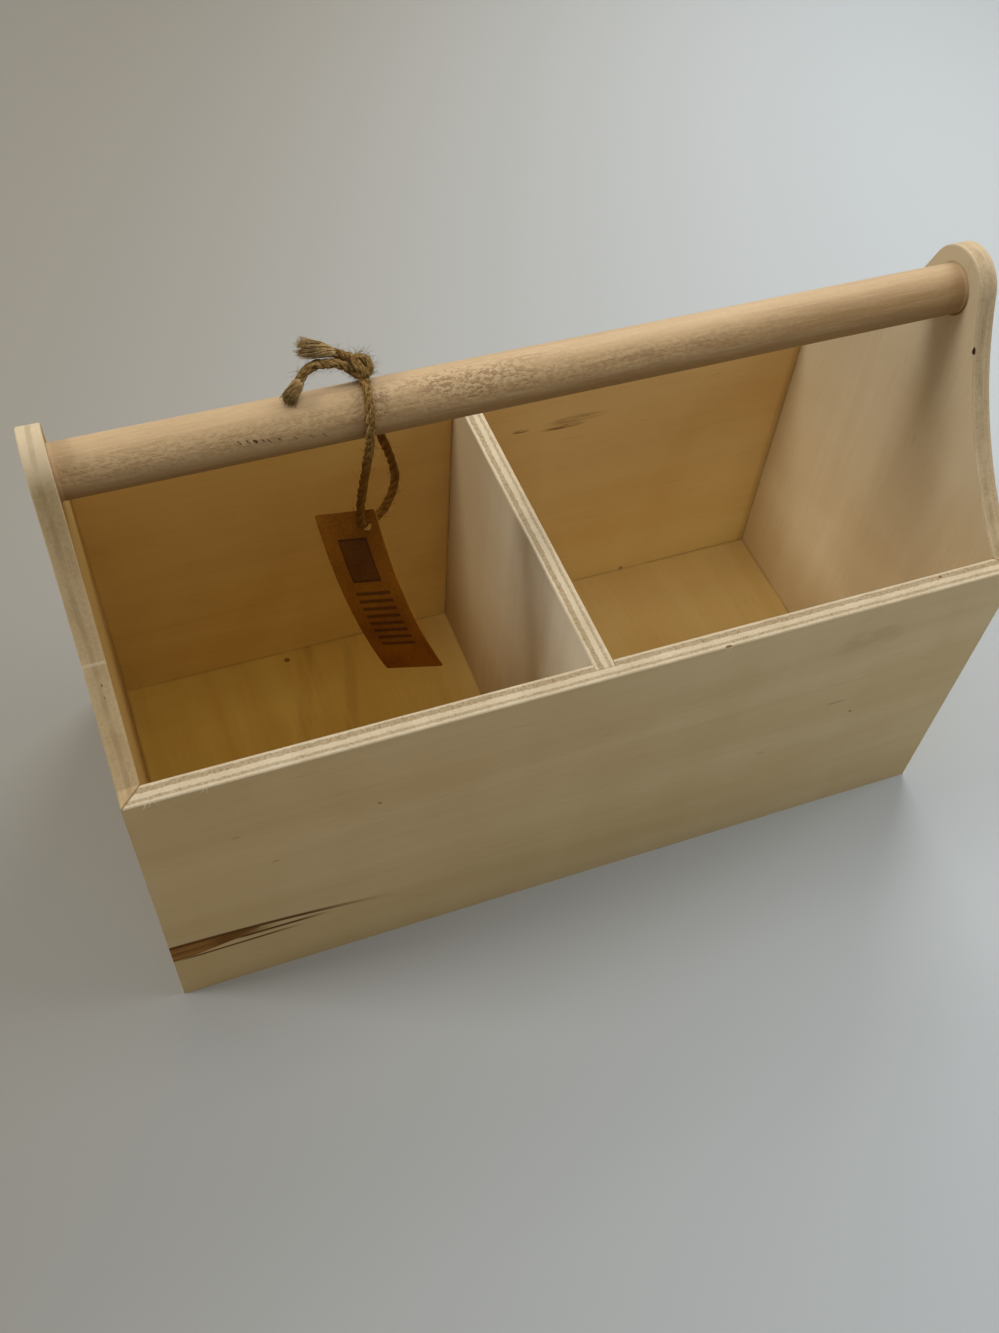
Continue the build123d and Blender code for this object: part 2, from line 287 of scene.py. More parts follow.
# Colours, as 8-bit screen values: a veneer has a pale and a deep tone
OUTSIDE = (srgb(237, 212, 165), srgb(218, 188, 136))
# Inside tones are painted light and shade: warmer and darker in the left half, on the front's inside and on
# the left end's inside as painted shade, paler in the right half and on the right end's inside as painted
# light, and greyer on the divider as painted cool light.
BACK_LEFT = (srgb(237, 204, 123), srgb(213, 170, 88))
BACK_RIGHT = (srgb(247, 224, 167), srgb(234, 202, 138))
BOTTOM_LEFT = (srgb(216, 178, 84), srgb(189, 143, 56))
BOTTOM_RIGHT = (srgb(232, 203, 137), srgb(214, 178, 105))
FRONT_INSIDE = (srgb(226, 194, 130), srgb(202, 164, 96))
LEFT_INSIDE = (srgb(178, 145, 84), srgb(157, 120, 61))
RIGHT_INSIDE = (srgb(230, 212, 177), srgb(212, 188, 144))
DIVIDER = (srgb(216, 199, 157), srgb(199, 175, 130))
PORE_BROWN = srgb(146, 114, 70)
EDGE_PALE = srgb(226, 208, 176)
EDGE_TAN = srgb(208, 188, 152)
LEFT_EDGE = (srgb(204, 178, 136), srgb(188, 160, 117))
RIGHT_EDGE = (srgb(212, 189, 153), srgb(194, 171, 132))
EDGE_CORE = srgb(176, 153, 117)
EDGE_SPECK = srgb(128, 103, 66)
SPLINTER_PALE = srgb(248, 238, 212)
MARK_AND_SHADE_BROWN = srgb(118, 80, 34)

# Painted light and shade on a veneer over its board: the axis, from where to where, and the tints at both
# ends
FRONT_PAINTED_LIGHT = (
    (0, -HALF_LENGTH, HALF_LENGTH, (0.93, 0.89, 0.83, 1.0), (1.06, 1.11, 1.20, 1.0)),
    (2, 0.0, 0.130, (0.93, 0.94, 0.92, 1.0), (1.06, 1.06, 1.08, 1.0)),
)
BACK_PAINTED_LIGHT = ((2, 0.0, 0.130, (1.06, 1.15, 1.22, 1.0), (0.89, 0.84, 0.79, 1.0)),)
RIGHT_PAINTED_LIGHT = ((2, 0.0, 0.200, (1.09, 1.11, 1.09, 1.0), (0.92, 0.92, 0.93, 1.0)),)
DIVIDER_PAINTED_LIGHT = (
    (1, -INNER_DEPTH, INNER_DEPTH, (1.20, 1.30, 1.50, 1.0), (0.82, 0.75, 0.65, 1.0)),
    (2, 0.0, 0.130, (0.97, 0.92, 0.80, 1.0), (1.03, 1.09, 1.26, 1.0)),
)
PLAIN_TINT = (1.0, 1.0, 1.0, 1.0)

# How strongly the darker cross plies show on the edges of the two ends
LEFT_CORE_DEPTH = 0.22
RIGHT_CORE_DEPTH = 0.42

# Colours of the streaks, dowel, twine, tag, brads, floor and surround
STREAK_BROWN = srgb(165, 112, 46)
STREAK_DARK = srgb(100, 58, 10)
DARK_MARK_AND_SHADE_BROWN = srgb(66, 42, 18)
DOWEL_PALE = srgb(206, 173, 127)
DOWEL_DEEP = srgb(168, 133, 88)
# The dowel's top colour is a painted highlight and serves also for its pale torn tufts; its low colour is
# painted shade
DOWEL_HIGHLIGHT_AND_TUFTS = srgb(216, 188, 148)
DOWEL_PAINTED_SHADE = srgb(146, 116, 76)
DOWEL_TORN = srgb(140, 106, 72)
JUTE_PALE = srgb(196, 162, 102)
JUTE_DEEP = srgb(92, 64, 28)
# The twine's brown serves both its brown patches and painted shade on its lower part
JUTE_BROWN_AND_SHADE = srgb(112, 68, 12)
# The brushes' colours are paler than the twine's, as painted light
BRUSH_LIT_PALE = srgb(250, 222, 160)
BRUSH_LIT_DEEP = srgb(196, 158, 100)
KRAFT_PALE = srgb(154, 98, 18)
KRAFT_DEEP = srgb(118, 66, 8)
KRAFT_INK = srgb(48, 24, 10)
STEEL_BRIGHT = srgb(190, 190, 188)
STEEL_DULL = srgb(140, 140, 138)
FLOOR_GREY = srgb(174, 173, 166)
# The floor's warm colour is painted shade and its cool one painted light
FLOOR_SHADED = srgb(158, 152, 140)
FLOOR_LIT = srgb(192, 197, 198)
SURROUND_DIM = (0.2, 0.2, 0.2, 1.0)
SURROUND_PALE = srgb(196, 198, 196)


class Tone:
    """A socket in a node tree. Arithmetic on it adds Math nodes; & and | take the lesser and the greater."""

    def __init__(self, nodes, socket):
        self.nodes = nodes
        self.socket = socket

    def maths(self, operation, first, second=0.0):
        return self.nodes.node("Math", {"operation": operation}, {0: first, 1: second})

    def __add__(self, other):
        return self.maths("ADD", self, other)

    def __sub__(self, other):
        return self.maths("SUBTRACT", self, other)

    def __rsub__(self, other):
        return self.maths("SUBTRACT", other, self)

    def __mul__(self, other):
        return self.maths("MULTIPLY", self, other)

    def __truediv__(self, other):
        return self.maths("DIVIDE", self, other)

    def __pow__(self, other):
        return self.maths("POWER", self, other)

    def __and__(self, other):
        return self.maths("MINIMUM", self, other)

    def __or__(self, other):
        return self.maths("MAXIMUM", self, other)

    def __abs__(self):
        return self.maths("ABSOLUTE", self)

    __radd__ = __add__
    __rmul__ = __mul__


class Nodes:
    """A node tree being filled."""

    def __init__(self, tree):
        self.tree = tree

    def node(self, kind, settings=None, sockets=None, out=0):
        """Adds a node: its settings first, then the values or links of its sockets."""
        made = self.tree.nodes.new("ShaderNode" + kind)
        for setting, value in (settings or {}).items():
            setattr(made, setting, value)
        for socket, value in (sockets or {}).items():
            self.feed(made.inputs[socket], value)
        return Tone(self, made.outputs[out])

    def feed(self, socket, value):
        """Links a tone to a socket, or sets a plain value on it."""
        if isinstance(value, Tone):
            self.tree.links.new(value.socket, socket)
        else:
            socket.default_value = value

    def mix(self, mask, first, second):
        """Colour that goes from the first to the second as the mask goes from 0 to 1."""
        return self.node("Mix", {"data_type": "RGBA"}, {0: mask, 6: first, 7: second}, out=2)

    def tinted(self, colour, tint):
        """A colour times a tint."""
        settings = {"data_type": "RGBA", "blend_type": "MULTIPLY"}
        return self.node("Mix", settings, {0: 1.0, 6: colour, 7: tint}, out=2)

    def seen(self):
        """1 where the camera looks, straight or through a gloss or a glass, and 0 where light is gathered."""
        camera = self.node("LightPath", out="Is Camera Ray")
        rays = camera.socket.node.outputs
        return camera | Tone(self, rays["Is Glossy Ray"]) | Tone(self, rays["Is Transmission Ray"])


class Finish(Nodes):
    """A material being made: one Principled shader, and the nodes that feed it."""

    SOCKETS = {
        "colour": "Base Color",
        "roughness": "Roughness",
        "gloss": "Specular IOR Level",
        "metal": "Metallic",
        "normal": "Normal",
    }

    def __init__(self, name, **shader):
        self.material = bpy.data.materials.new(name)
        self.material.use_nodes = True
        super().__init__(self.material.node_tree)
        self.shader = self.tree.nodes["Principled BSDF"]
        self.paint(**shader)

    def paint(self, **sockets):
        """Feeds the shader's own sockets, by the short names above."""
        for socket, value in sockets.items():
            self.feed(self.shader.inputs[self.SOCKETS[socket]], value)

    def place(self):
        """Object coordinates."""
        return self.node("TexCoord", out="Object")

    def parts(self, vector):
        """The three numbers of a vector."""
        split = self.node("SeparateXYZ", {}, {0: vector})
        return [Tone(self, socket) for socket in split.socket.node.outputs]

    def dot(self, vector, axis):
        """How far a vector goes along an axis."""
        return self.node("VectorMath", {"operation": "DOT_PRODUCT"}, {0: vector, 1: axis}, out="Value")

    def scaled(self, vector, scale):
        """A vector times a scale of its own on each axis."""
        return self.node("VectorMath", {"operation": "MULTIPLY"}, {0: vector, 1: scale})

    def noise(self, vector, scale, detail=2.0, rough=0.5, bend=0.0):
        """Noise about 0.5 on a vector that is first scaled on each axis."""
        sockets = {"Vector": self.scaled(vector, scale), "Scale": 1.0, "Detail": detail}
        return self.node("TexNoise", {}, {**sockets, "Roughness": rough, "Distortion": bend})

    def rise(self, tone, low, high):
        """Smooth step from 0 at low to 1 at high, and the other way where low is above high."""
        sockets = {0: tone, 1: min(low, high), 2: max(low, high)}
        ends = {3: 0.0, 4: 1.0} if low < high else {3: 1.0, 4: 0.0}
        return self.node("MapRange", {"interpolation_type": "SMOOTHSTEP"}, {**sockets, **ends})

    def bump(self, height, depth, strength=1.0):
        """Normal of a surface that stands out by a height from 0 to 1 times a depth in metres."""
        return self.node("Bump", {}, {"Height": height, "Distance": depth, "Strength": strength})

    def line(self, tone, at, half):
        """Soft-edged stripe, 1 where a tone is within about half of a value."""
        return self.rise(abs(tone - at), half * 1.5, half * 0.5)

    def spot(self, first, second, centre, reach, edge=0.35):
        """Soft-edged oval, 1 inside and 0 outside, where two tones are near a centre."""
        away = ((first - centre[0]) / reach[0]) ** 2 + ((second - centre[1]) / reach[1]) ** 2
        return self.rise(away, 1.0 + edge, 1.0 - edge)

    def spots(self, first, second, marks):
        """One mask of many ovals, each times its strength."""
        ovals = []
        for centre, reach, strength, *edge in marks:
            ovals.append(self.spot(first, second, centre, reach, *edge) * strength)
        return reduce(or_, ovals)


def photo_camera():
    """Camera at the photograph's place: its axes are right, up and back, rolled about the line of sight."""
    data = bpy.data.cameras.new("photo_camera")
    long_side = max(PHOTO_PIXELS)
    data.sensor_width = SENSOR_WIDTH
    data.lens = SENSOR_WIDTH * FOCAL_PIXELS / long_side
    data.shift_x = (PHOTO_PIXELS[0] / 2 - MIDDLE_PIXEL[0]) / long_side
    data.shift_y = (MIDDLE_PIXEL[1] - PHOTO_PIXELS[1] / 2) / long_side
    data.clip_start = CLIP_START
    sight = (Vector(LOOK_AT) - Vector(CAMERA_AT)).normalized()
    level = sight.cross(Vector((0, 0, 1))).normalized()
    upright = level.cross(sight)
    right = level * cos(CAMERA_ROLL) + upright * sin(CAMERA_ROLL)
    up = upright * cos(CAMERA_ROLL) - level * sin(CAMERA_ROLL)
    camera = bpy.data.objects.new("photo_camera", data)
    camera.matrix_world = Matrix.Translation(CAMERA_AT) @ Matrix((right, up, -sight)).transposed().to_4x4()
    bpy.context.collection.objects.link(camera)
    bpy.context.scene.camera = camera


def unit(vectors):
    """Vectors of length one."""
    return vectors / np.linalg.norm(vectors, axis=-1, keepdims=True)


def piece(name, vertices, faces, finish, smooth=True, uv=None):
    """Object at the origin from vertices and faces, with one UV pair for each corner of each face."""
    mesh = bpy.data.meshes.new(name)
    mesh.from_pydata(np.reshape(vertices, (-1, 3)).tolist(), [], faces)
    if uv is not None:
        mesh.uv_layers.new(name="along_and_round").data.foreach_set("uv", np.ravel(uv))
    mesh.polygons.foreach_set("use_smooth", np.full(len(mesh.polygons), smooth))
    mesh.materials.append(finish.material)
    made = bpy.data.objects.new(name, mesh)
    bpy.context.collection.objects.link(made)
    return made


def tubes(name, centres, first, second, radii, finish):
    """Round tubes along many paths at once: a ring is centre + radius (first cos a + second sin a).

    centres, first and second have the shape (tubes, rings, 3) and radii (tubes, rings, sides). Quads join
    the rings and a flat cap closes each end. The UV runs along the tube in millimetres and round it from
    0 to 1.
    """
    count, rings, sides = radii.shape
    angle = 2 * pi * np.arange(sides) / sides
    spoke = first[:, :, None] * np.cos(angle)[:, None] + second[:, :, None] * np.sin(angle)[:, None]
    vertices = centres[:, :, None] + spoke * radii[..., None]
    tube, ring, side = np.meshgrid(np.arange(count), np.arange(rings - 1), np.arange(sides), indexing="ij")
    quad_ring = np.stack([ring, ring, ring + 1, ring + 1], -1).reshape(-1, 4)
    quad_side = np.stack([side, side + 1, side + 1, side], -1).reshape(-1, 4)
    quads = (np.repeat(tube.reshape(-1, 1), 4, 1) * rings + quad_ring) * sides + quad_side % sides
    start = np.arange(count)[:, None] * rings * sides + np.arange(sides)[::-1]
    end = (np.arange(count)[:, None] * rings + rings - 1) * sides + np.arange(sides)
    step = np.linalg.norm(np.diff(centres[0], axis=0), axis=1)
    along = np.concatenate([[0], np.cumsum(step)]) / MM
    quad_uv = np.stack([along[quad_ring], quad_side / sides], -1).reshape(-1, 2)
    start_uv = np.stack([np.zeros(start.size), np.tile(np.arange(sides)[::-1] / sides, count)], -1)
    end_uv = np.stack([np.full(end.size, along[-1]), np.tile(np.arange(sides) / sides, count)], -1)
    faces = quads.tolist() + start.tolist() + end.tolist()
    return piece(name, vertices, faces, finish, uv=np.concatenate([quad_uv, start_uv, end_uv]))


def twine_line():
    """Points of the twine's middle, read from a NURBS curve on the route's points."""
    curve = bpy.data.curves.new("twine_line", "CURVE")
    curve.dimensions = "3D"
    curve.resolution_u = TWINE_STEPS
    spline = curve.splines.new("NURBS")
    route = np.array(TWINE_ROUTE) + TWINE_AXIS
    spline.points.add(len(route) - 1)
    spline.points.foreach_set("co", np.c_[route, np.ones(len(route))].ravel())
    spline.order_u = 3
    spline.use_endpoint_u = True
    holder = bpy.data.objects.new("twine_line", curve)
    line = bpy.data.meshes.new_from_object(holder)
    points = np.zeros(len(line.vertices) * 3)
    line.vertices.foreach_get("co", points)
    bpy.data.objects.remove(holder)
    bpy.data.meshes.remove(line)
    return points.reshape(-1, 3)


def carried_frames(points):
    """Tangent and two square directions along a path, each frame turned as little as it can from the last."""
    tangent = unit(np.gradient(points, axis=0))
    normal = np.zeros_like(points)
    normal[0] = unit(np.cross(tangent[0], (0, 0, 1)))
    for index in range(1, len(points)):
        carried = normal[index - 1] - tangent[index] * (normal[index - 1] @ tangent[index])
        normal[index] = carried / np.linalg.norm(carried)
    return tangent, normal, np.cross(tangent, normal)


def jute_finish(name, pale, deep, dark_from=None):
    """Twisted jute: fibres along each ply from straw to brown, and browner from the dowel down as painted
    shade.

    It turns darker from a length along the piece, in millimetres, towards a cut end.
    """
    jute = Finish(name, roughness=0.95, gloss=0.0)
    place = jute.place()
    along, around, _ = jute.parts(jute.node("UVMap"))
    slanted = jute.node("CombineXYZ", {}, {0: along * 0.35, 1: around * 14 + along * 1.4, 2: 0.0})
    fibre = jute.node("TexNoise", {}, {"Vector": slanted, "Scale": 1.0, "Detail": 3.0})
    grain = jute.noise(place, (800, 800, 800), 2.0)
    patch = jute.rise(jute.noise(place, (150, 150, 150), 2.0), 0.4, 0.7)
    # Painted shade on the twine below the dowel
    low_shade = jute.rise(jute.parts(place)[2], *SHADED_HEIGHTS)
    colour = jute.mix(jute.rise(fibre * 0.65 + grain * 0.35, 0.36, 0.7), deep, pale)
    colour = jute.mix(patch * 0.4 | low_shade * 0.85, colour, JUTE_BROWN_AND_SHADE)
    if dark_from:
        colour = jute.mix(jute.rise(along, dark_from, dark_from + 0.8) * 0.3, colour, JUTE_DEEP)
    jute.paint(colour=colour, normal=jute.bump(fibre, 0.25 * MM, 0.9))
    return jute


def twine(jute, middle, frames):
    """Twine of three twisted plies: ply k turns about the route at (2 pi s / pitch + 2 pi k / 3).

    The lay is uneven. Near the two cut ends the plies lie further out and thin away among the loose fibres.
    """
    _, normal, binormal = frames
    step = np.linalg.norm(np.diff(middle, axis=0), axis=1)
    along = np.concatenate([[0], np.cumsum(step)])
    to_end = np.minimum(along, along[-1] - along)
    loosened = np.clip(1 - to_end / LOOSE_LENGTH, 0, 1) ** 1.5
    ply_radius = TWINE_DIAMETER / 2 / (1 + 2 / 3**0.5)
    lay = (TWINE_DIAMETER / 2 - ply_radius) * (0.85 + 0.9 * loosened)
    uneven = 0.5 * np.sin(330 * along) + 0.3 * np.sin(760 * along + 1.0)
    turn = 2 * pi * along / TWINE_PITCH + uneven + 2 * pi * np.arange(TWINE_PLIES)[:, None] / TWINE_PLIES
    radial = normal * np.cos(turn)[..., None] + binormal * np.sin(turn)[..., None]
    centres = middle + radial * lay[:, None]
    ply_tangent = unit(np.gradient(centres, axis=1))
    outward = unit(radial - ply_tangent * np.sum(radial * ply_tangent, -1, keepdims=True))
    sideways = np.cross(ply_tangent, outward)
    round_angle = 2 * pi * np.arange(PLY_SIDES) / PLY_SIDES
    ripple = 0.05 * np.sin(5 * round_angle + 900 * along[:, None])
    ripple = ripple + 0.04 * np.sin(3 * round_angle - 1700 * along[:, None] + 1.3)
    swell = 1.26 + 0.07 * np.sin(410 * along) + 0.05 * np.sin(970 * along + 0.7)
    closing = np.clip(to_end / THINNING_LENGTH, 0.03, 1) ** 0.5
    radii = ply_radius * (swell * closing)[:, None] * (1 + ripple)
    plies = np.broadcast_to(radii, (TWINE_PLIES, *radii.shape))
    cord = tubes("jute_twine", centres, outward, sideways, plies, jute)
    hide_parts("twine_collar", "twine_knot", "twine_tail_upper", "twine_tail_lower", "twine_drop")
    return cord


def fibres(name, finish, centres, thickness, sides=3):
    """Thin fibres along the paths in centres, as thick as 1 - 0.7 s^3 of the root a share s along them."""
    tangent = unit(np.gradient(centres, axis=1))
    first = unit(np.cross(tangent, ASKEW))
    second = np.cross(tangent, first)
    share = np.linspace(0, 1, centres.shape[1])
    taper = thickness[:, None] * (1 - 0.7 * share**3)
    return tubes(name, centres, first, second, np.repeat(taper[..., None], sides, -1), finish)


def curved_paths(roots, heading, length, curl, rings=6):
    """Paths that leave their roots along a heading and bend by curl times the square of the way."""
    share = np.linspace(0, 1, rings)[:, None]
    return roots[:, None] + heading[:, None] * length[:, None, None] * share + curl[:, None] * share**2


def twine_fuzz(jute, middle, frames, rng):
    """Stray fibres that stand off the twine all along it."""
    at = rng.integers(2, len(middle) - 2, FUZZ_COUNT)
    tangent, normal, binormal = (axis[at] for axis in frames)
    angle = rng.uniform(0, 2 * pi, FUZZ_COUNT)[:, None]
    out = normal * np.cos(angle) + binormal * np.sin(angle)
    way = rng.choice((-1.0, 1.0), FUZZ_COUNT)[:, None]
    heading = unit(tangent * way + out * rng.uniform(*FUZZ_LEAN, FUZZ_COUNT)[:, None])
    roots = middle[at] + out * TWINE_DIAMETER * FUZZ_ROOT
    curl = rng.normal(0, FUZZ_CURL, (FUZZ_COUNT, 3))
    paths = curved_paths(roots, heading, rng.uniform(*FUZZ_LENGTH, FUZZ_COUNT), curl)
    return fibres("twine_fuzz", jute, paths, rng.uniform(*FUZZ_THICKNESS, FUZZ_COUNT))


def frayed_end(name, jute, path, frames, spread, rng):
    """Brush of loose fibres at a cut end of the twine.

    A fibre keeps its own share of the bundle's radius, spread, along the path, turns a little round it,
    wanders off as it goes, and is cut near the others.
    """
    _, normal, binormal = frames
    way = np.linspace(0, 1, BRUSH_RINGS)
    share = np.sqrt(rng.uniform(0, 1, BRUSH_COUNT))[:, None]
    angle = rng.uniform(0, 2 * pi, BRUSH_COUNT)[:, None] + BRUSH_TURN * way
    out = normal * np.cos(angle)[..., None] + binormal * np.sin(angle)[..., None]
    wander = rng.normal(0, BRUSH_WANDER, (BRUSH_COUNT, 1, 3)) * way[:, None] ** 2
    centres = path + out * (share * spread)[..., None] + wander
    cut = rng.uniform(*BRUSH_CUT, BRUSH_COUNT)[:, None]
    centres[:, -1] = centres[:, -2] + (centres[:, -1] - centres[:, -2]) * cut
    return fibres(name, jute, centres, rng.uniform(*BRUSH_THICKNESS, BRUSH_COUNT))


def end_path(middle, frames, stride, at_start):
    """The last stretch of the twine out to one of its cut ends, and its frames, by points a stride apart."""
    picked = np.arange(BRUSH_RINGS)[::-1] * stride
    if not at_start:
        picked = len(middle) - 1 - picked
    return middle[picked], [axis[picked] for axis in frames]


def hang_twine():
    """The twine with its loose fibres, round the dowel above and through the tag below; the brushes at its
    cut ends are attached to the twine loop's body.
    """
    rng = np.random.default_rng(TWINE_SEED)
    jute = jute_finish("jute_twine", JUTE_PALE, JUTE_DEEP)
    # The brushes take paler colours, as painted light
    fan_jute = jute_finish("brushed_fan", BRUSH_LIT_PALE, BRUSH_LIT_DEEP, FAN_DARK_MM)
    club_jute = jute_finish("brushed_club", BRUSH_LIT_PALE, BRUSH_LIT_DEEP, CLUB_DARK_MM)
    middle = twine_line()
    frames = carried_frames(middle)
    cord = twine(jute, middle, frames)
    fuzz = twine_fuzz(jute, middle, frames, rng)
    way = np.linspace(0, 1, BRUSH_RINGS)
    fan = BRUSH_NECK + FAN_FLARE * way**0.9
    club = BRUSH_NECK + CLUB_SWELL * np.sin(2.3 * way**0.7)
    upper_path, upper_frames = end_path(middle, frames, FAN_STRIDE, at_start=True)
    lower_path, lower_frames = end_path(middle, frames, CLUB_STRIDE, at_start=False)
    upper = frayed_end("upper_tail_brush", fan_jute, upper_path, upper_frames, fan, rng)
    lower = frayed_end("lower_tail_brush", club_jute, lower_path, lower_frames, club, rng)
    for made in (cord, fuzz):
        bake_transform(made)
    for made in (upper, lower):
        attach(made, "twine_loop")


class Board:
    """Which way a board lies: the axes of its grain and of its thickness, and its outer face."""

    def __init__(self, grain, through, outer, thickness):
        self.grain = grain
        self.through = through
        self.outer = outer
        self.outer_side = 1.0 if outer > 0 else -1.0
        self.thickness = thickness

    def scale(self, grain, across):
        """A noise's scale on each axis: one along the grain, and one square to it."""
        scale = [across, across, across]
        scale[self.grain] = grain
        return scale


def board_faces(wood, board, place, pale, deep):
    """Colour of a sanded face: broad bands and fine fibre along the grain, and a faint curl across it."""
    bands = wood.noise(place, board.scale(2.6, 34.0), 3.0, 0.55, 0.7)
    fibre = wood.noise(place, board.scale(20.0, 900.0), 3.0, 0.6)
    curl = wood.noise(place, board.scale(30.0, 13.0), 2.0, 0.5, 0.4)
    pores = wood.rise(wood.noise(place, board.scale(80.0, 1500.0), 1.0), 0.66, 0.78)
    depth = bands * 0.9 + fibre * 0.25 + curl * 0.45 - 0.45
    colour = wood.mix(wood.rise(depth, -0.1, 0.85), pale, deep)
    return wood.mix(pores * 0.14, colour, PORE_BROWN), fibre


def board_edges(wood, place, share, tones, core_depth):
    """Colour of a cut edge, by its share of the way in from the outer face: five plies that wander a little.

    The two cross plies are darker and specked where they show end grain.
    """
    wander = wood.noise(place, (42, 42, 42), 3.0, 0.6) - 0.5
    ragged = wood.noise(place, (420, 420, 420), 2.0, 0.6) - 0.5
    layer = share + wander * 0.13 + ragged * 0.13
    outer_core = wood.rise(layer, 0.15, 0.2) * wood.rise(layer, 0.36, 0.3)
    inner_core = wood.rise(layer, 0.56, 0.62) * wood.rise(layer, 0.87, 0.82)
    streak = wood.noise(place, (60, 60, 60), 3.0, 0.6)
    speck = wood.noise(place, (900, 900, 900), 2.0, 0.65)
    pale = wood.mix(wood.rise(streak * 0.6 + speck * 0.4, 0.32, 0.7), *tones)
    core = wood.mix(wood.rise(speck, 0.46, 0.68) * 0.8, EDGE_CORE, EDGE_SPECK)
    end_grain = (outer_core * 0.8 + inner_core) * core_depth
    return wood.mix(end_grain * (0.55 + streak * 0.5), pale, core), end_grain * speck


def painted_shading(wood, axes, side, colour, shading):
    """A veneer's colour times painted light and shade: soft changes of tint along the board's axes, on one of
    its sides.
    """
    for axis, low, high, first, second in shading:
        tint = wood.mix(wood.rise(axes[axis], low, high), first, second)
        colour = wood.tinted(colour, wood.mix(side, PLAIN_TINT, tint))
    return colour


def plywood(
    name, board, inner, outer, marks, rim_tones=(EDGE_PALE, EDGE_TAN), core_depth=1.0,
    inner_right=None, inner_painted_light=(), outer_painted_light=(),
):
    """Bare sanded plywood for one board: its two faces and its edges are told apart by which way they look.

    The veneer inside can go from a painted shade on the left of the caddy to a painted light on the right,
    and each side can carry painted light and shade that changes along the board.
    marks returns pairs of a mask and a colour for the faces, and the same for the edges.
    """
    wood = Finish(name, roughness=0.62, gloss=0.05)
    place = wood.place()
    axes = wood.parts(place)
    looks = wood.parts(wood.node("TexCoord", out="Normal"))[board.through]
    outer_side = board.outer_side
    share = (board.outer - axes[board.through]) * (outer_side / board.thickness)
    outwards = wood.rise(looks * outer_side, -0.1, 0.1)
    edge = wood.rise(abs(looks), 0.92, 0.8)
    # Inside, the left palette is a painted shade and the right one a painted light
    shade_to_light = wood.rise(axes[0], -0.06, 0.06)
    inner_pale, inner_deep = [wood.mix(shade_to_light, *pair) for pair in zip(inner, inner_right or inner)]
    pale = wood.mix(outwards, inner_pale, outer[0])
    deep = wood.mix(outwards, inner_deep, outer[1])
    face, fibre = board_faces(wood, board, place, pale, deep)
    # Painted light and shade along the board, inside and outside
    face = painted_shading(wood, axes, 1 - outwards, face, inner_painted_light)
    face = painted_shading(wood, axes, outwards, face, outer_painted_light)
    rim, pits = board_edges(wood, place, share, rim_tones, core_depth)
    face_marks, edge_marks = marks(wood, place, axes, outwards)
    for mask, colour in face_marks:
        face = wood.mix(mask, face, colour)
    for mask, colour in edge_marks:
        rim = wood.mix(mask, rim, colour)
    wood.paint(
        colour=wood.mix(edge, face, rim),
        roughness=0.55 + fibre * 0.16 + edge * 0.12,
        normal=wood.bump(fibre * (1 - edge) + (1 - pits) * edge, 0.06 * MM, 0.6),
    )
    return wood


def seams(wood, place, inside, lines):
    """Thin dark joints on the inside of the box, broken up a little: pairs of a tone and its value there."""
    mask = reduce(or_, [wood.line(tone, value, 0.7 * MM) for tone, value in lines])
    broken = wood.rise(wood.noise(place, (70, 70, 70), 2.0), 0.2, 0.55)
    return mask * inside * (0.06 + broken * 0.2), MARK_AND_SHADE_BROWN


def mitre(wood, x, y):
    """Dark glue line where the boards meet at 45 degrees at the four corners."""
    off = (HALF_LENGTH - abs(x)) - (HALF_DEPTH - abs(y))
    return wood.line(off, 0.0, 0.5 * MM) * 0.65, MARK_AND_SHADE_BROWN


def front_marks(wood, place, axes, outwards):
    """Mineral streak from the front's left end, two pin knots, faint flecks, and nicks in the top edge.

    The way along the streak goes from 0 at the board's end to 1 at its tip. The top bows a little, and the
    foot rises to meet it.
    """
    x, y, z = axes
    way = (x + HALF_LENGTH) / STREAK_LENGTH
    top = STREAK_TOP - way * 0.0078 + way * (1 - way) * 0.006
    low = STREAK_FOOT + wood.rise(way, 0.0, 0.4) * 0.0052 - way * 0.001
    body = wood.rise(z - low, -0.0003, 0.0006) * wood.rise(top - z, -0.0003, 0.0006)
    body = body * wood.rise(way, 0.55, 0.28)
    stripes = wood.rise(wood.noise(place, (7.0, 1.0, 480.0), 2.0, 0.55), 0.3, 0.7)
    upper_line = wood.line(z - top, -0.0003, 1.1 * MM) * wood.rise(way, 1.15, 0.6)
    dark = wood.spots(x, z, STREAK_HEART)
    pins = wood.spots(x, z, FRONT_KNOTS + FRONT_FLECKS)
    blotch = wood.spots(x, z, FRONT_BLOTCH)
    blotch = blotch * wood.rise(wood.noise(place, (60, 60, 160), 3.0), 0.35, 0.65)
    lines = upper_line | dark | body * wood.rise(way, 0.1, 0.26) * 0.75
    for height, rise, half, start, end in STREAK_LINES:
        thin = wood.line(z - way * rise, height, half) * wood.rise(way, *start)
        lines = lines | thin * wood.rise(way, *end)
    faces = [
        (blotch * outwards * 0.14, MARK_AND_SHADE_BROWN),
        (body * outwards * (0.86 + stripes * 0.1), STREAK_BROWN),
        ((lines | body * stripes * 0.7) * outwards * 0.95, STREAK_DARK),
        (pins * outwards * 0.9, DARK_MARK_AND_SHADE_BROWN),
        seams(wood, place, 1 - outwards, [(z, BOTTOM_PLY)]),
    ]
    nicks = wood.spots(x, y, FRONT_EDGE_NICKS)
    return faces, [(nicks * 0.8, MARK_AND_SHADE_BROWN), mitre(wood, x, y)]


